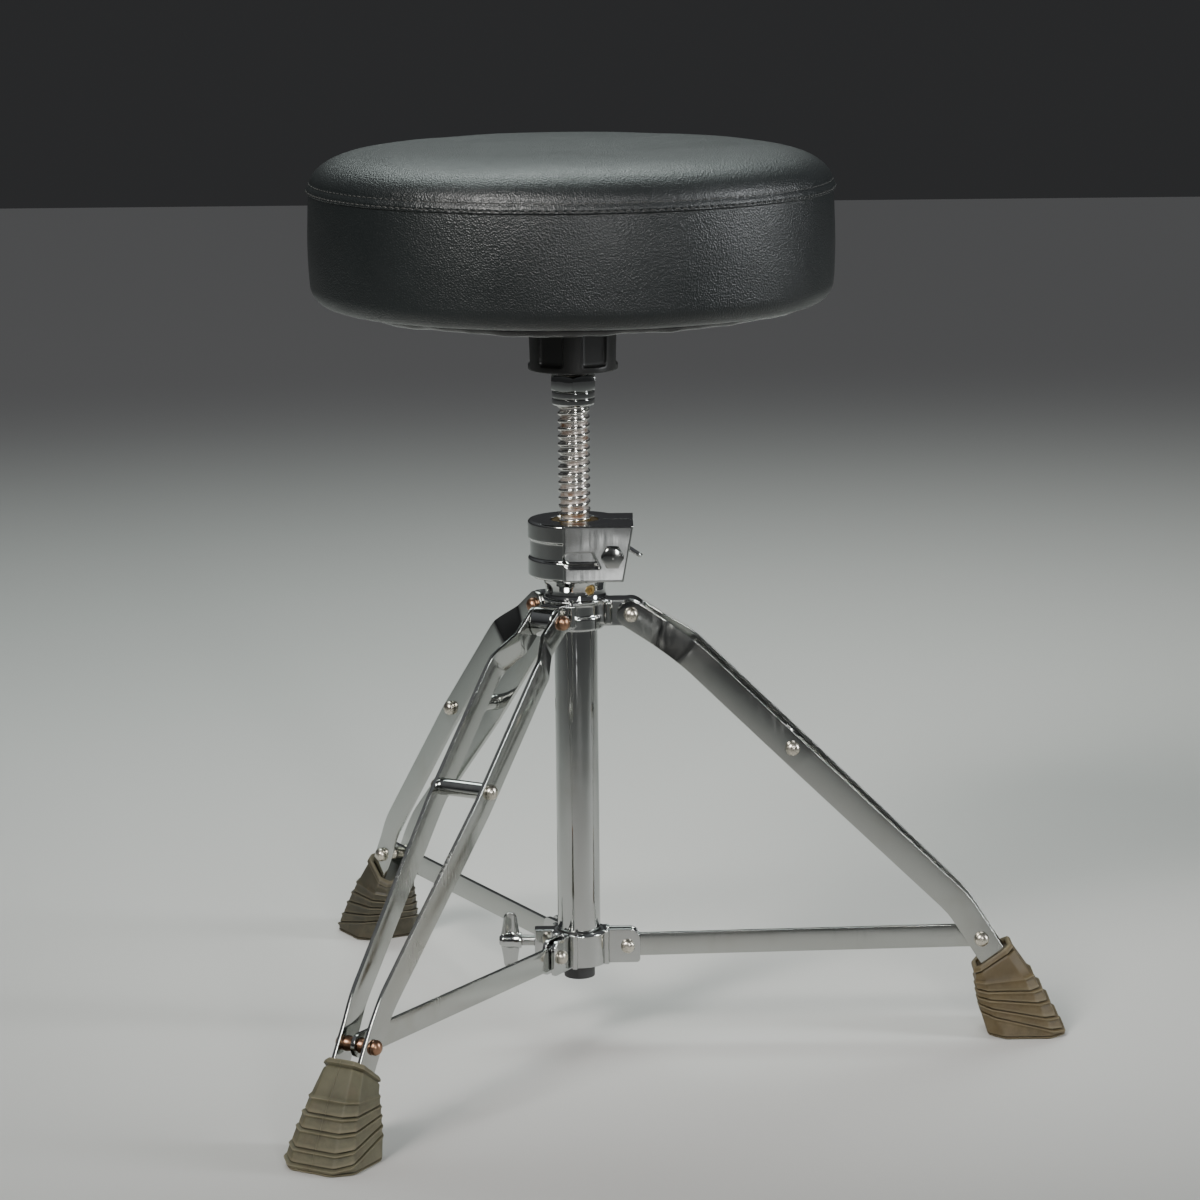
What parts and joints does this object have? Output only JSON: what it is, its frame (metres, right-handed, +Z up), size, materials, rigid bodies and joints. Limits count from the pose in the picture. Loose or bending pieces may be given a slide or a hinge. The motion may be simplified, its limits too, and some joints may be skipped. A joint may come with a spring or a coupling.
{
  "type": "drum throne",
  "caption": "Drum throne: round padded seat on a screw rod above a chromed tube, with a height clamp, double-strip folding legs, stays, a sliding collar and big rubber feet.",
  "frame": {"origin": "on the floor, at the middle of the throne's footprint box", "axes": "+Z up along the centre tube, +X along one leg, +Y to its left"},
  "size_m": [0.5077, 0.5824, 0.5973],
  "materials": {
    "polished_chrome": "polished, lightly scuffed",
    "rod_steel": "plated screw thread with a trace of rust",
    "plated_strip": "bright plated strip, scuffed and dusty",
    "rivet_nickel": "satin nickel rivets, some tarnished copper brown",
    "black_casting": "satin black enamel",
    "insert_brass": "plain machined",
    "black_vinyl": "satin pebbled upholstery vinyl over foam",
    "seat_board": "birch plywood, unfinished",
    "dust_cover": "thin black sheet",
    "black_nylon": "moulded",
    "foot_rubber": "dusty dark rubber, moulded ridges"
  },
  "bodies": {
    "frame": {"main_tube": "polished_chrome", "tube_end_plug": "black_nylon", "height_clamp": "polished_chrome", "threaded_insert": "insert_brass", "neck_set_screw_1": "black_casting", "neck_set_screw_2": "insert_brass", "clamp_bolt": "polished_chrome", "clamp_washer": "rivet_nickel", "upper_leg_hub": "polished_chrome"},
    "clamp_wing": {"clamp_wing_nut": "polished_chrome"},
    "rod_guide": {"rod_guide_bush": "black_nylon"},
    "seat": {"seat_cushion": "black_vinyl", "seat_base_board": "seat_board", "seat_bottom_cover": "dust_cover", "seat_bracket": "black_casting", "bracket_screw_1": "rivet_nickel", "bracket_screw_2": "rivet_nickel", "bracket_screw_3": "rivet_nickel", "bracket_screw_4": "rivet_nickel", "threaded_rod": "rod_steel", "rod_lock_nut": "polished_chrome", "rod_stop_ring": "polished_chrome", "guide_retaining_screw": "rivet_nickel"},
    "bracket_wing": {"bracket_wing_bolt": "polished_chrome"},
    "collar": {"sliding_collar": "polished_chrome", "collar_liner": "black_nylon", "stay_rivet_1": "rivet_nickel", "stay_rivet_2": "rivet_nickel", "stay_rivet_3": "rivet_nickel"},
    "collar_wing": {"collar_wing_bolt": "polished_chrome"},
    "leg_1": {"leg_strip_left_1": "plated_strip", "leg_strip_right_1": "plated_strip", "leg_hinge_rivet_1": "rivet_nickel", "leg_middle_rivet_1": "rivet_nickel", "leg_spacer_tube_1": "plated_strip", "leg_lower_pin_left_1": "rivet_nickel", "leg_lower_pin_right_1": "rivet_nickel", "foot_1": "foot_rubber"},
    "leg_2": {"leg_strip_left_2": "plated_strip", "leg_strip_right_2": "plated_strip", "leg_hinge_rivet_2": "rivet_nickel", "leg_middle_rivet_2": "rivet_nickel", "leg_spacer_tube_2": "plated_strip", "leg_lower_pin_left_2": "rivet_nickel", "leg_lower_pin_right_2": "rivet_nickel", "foot_2": "foot_rubber"},
    "leg_3": {"leg_strip_left_3": "plated_strip", "leg_strip_right_3": "plated_strip", "leg_hinge_rivet_3": "rivet_nickel", "leg_middle_rivet_3": "rivet_nickel", "leg_spacer_tube_3": "plated_strip", "leg_lower_pin_left_3": "rivet_nickel", "leg_lower_pin_right_3": "rivet_nickel", "foot_3": "foot_rubber"},
    "stay_arm_1": {"stay_1": "plated_strip"},
    "stay_arm_2": {"stay_2": "plated_strip"},
    "stay_arm_3": {"stay_3": "plated_strip"}
  },
  "joints": [
    {"name": "collar_slide", "type": "slide", "parent": "frame", "child": "collar", "axis": [0, 0, 1], "range_m": [0, 0.14082]},
    {"name": "leg_fold_1", "type": "hinge", "parent": "frame", "child": "leg_1", "pos_m": [-0.0339, 0, 0.2888], "axis": [0, 1, 0], "range_deg": [0, 42.5]},
    {"name": "leg_fold_2", "type": "hinge", "parent": "frame", "child": "leg_2", "pos_m": [-0.0885, 0.03152, 0.2888], "axis": [-0.866, -0.5, 0], "range_deg": [0, 42.5]},
    {"name": "leg_fold_3", "type": "hinge", "parent": "frame", "child": "leg_3", "pos_m": [-0.0885, -0.03152, 0.2888], "axis": [0.866, -0.5, 0], "range_deg": [0, 42.5]},
    {"name": "stay_fold_1", "type": "hinge", "parent": "collar", "child": "stay_arm_1", "pos_m": [-0.0379, 0, 0.0616], "axis": [0, 1, 0], "range_deg": [0, 85.09]},
    {"name": "stay_fold_2", "type": "hinge", "parent": "collar", "child": "stay_arm_2", "pos_m": [-0.0865, 0.02806, 0.0616], "axis": [-0.866, -0.5, 0], "range_deg": [0, 85.09]},
    {"name": "stay_fold_3", "type": "hinge", "parent": "collar", "child": "stay_arm_3", "pos_m": [-0.0865, -0.02806, 0.0616], "axis": [0.866, -0.5, 0], "range_deg": [0, 85.09]},
    {"name": "seat_turn", "type": "hinge", "parent": "rod_guide", "child": "seat", "pos_m": [-0.0703, 0, 0.45], "axis": [0, 0, 1], "range_deg": [-5040, 3600]},
    {"name": "seat_height", "type": "slide", "parent": "frame", "child": "rod_guide", "axis": [0, 0, 1], "range_m": [-0.0712, 0.0509]},
    {"name": "clamp_wing_turn", "type": "hinge", "parent": "frame", "child": "clamp_wing", "pos_m": [-0.0458, 0.039, 0.3308], "axis": [0, 1, 0], "range_deg": [0, 450]},
    {"name": "bracket_wing_turn", "type": "hinge", "parent": "seat", "child": "bracket_wing", "pos_m": [-0.04917, 0.03973, 0.4625], "axis": [0.4695, 0.8829, 0], "range_deg": [0, 450]},
    {"name": "collar_wing_turn", "type": "hinge", "parent": "collar", "child": "collar_wing", "pos_m": [-0.1153, 0, 0.065], "axis": [-1, 0, 0], "range_deg": [0, 450]}
  ],
  "couplings": [
    {"joint": "leg_fold_1", "follows": "collar_slide", "rad_per_m": 5.2673},
    {"joint": "leg_fold_2", "follows": "collar_slide", "rad_per_m": 5.2673},
    {"joint": "leg_fold_3", "follows": "collar_slide", "rad_per_m": 5.2673},
    {"joint": "stay_fold_1", "follows": "collar_slide", "rad_per_m": 10.546},
    {"joint": "stay_fold_2", "follows": "collar_slide", "rad_per_m": 10.546},
    {"joint": "stay_fold_3", "follows": "collar_slide", "rad_per_m": 10.546},
    {"joint": "seat_height", "follows": "seat_turn", "m_per_rad": 0.00080851}
  ]
}
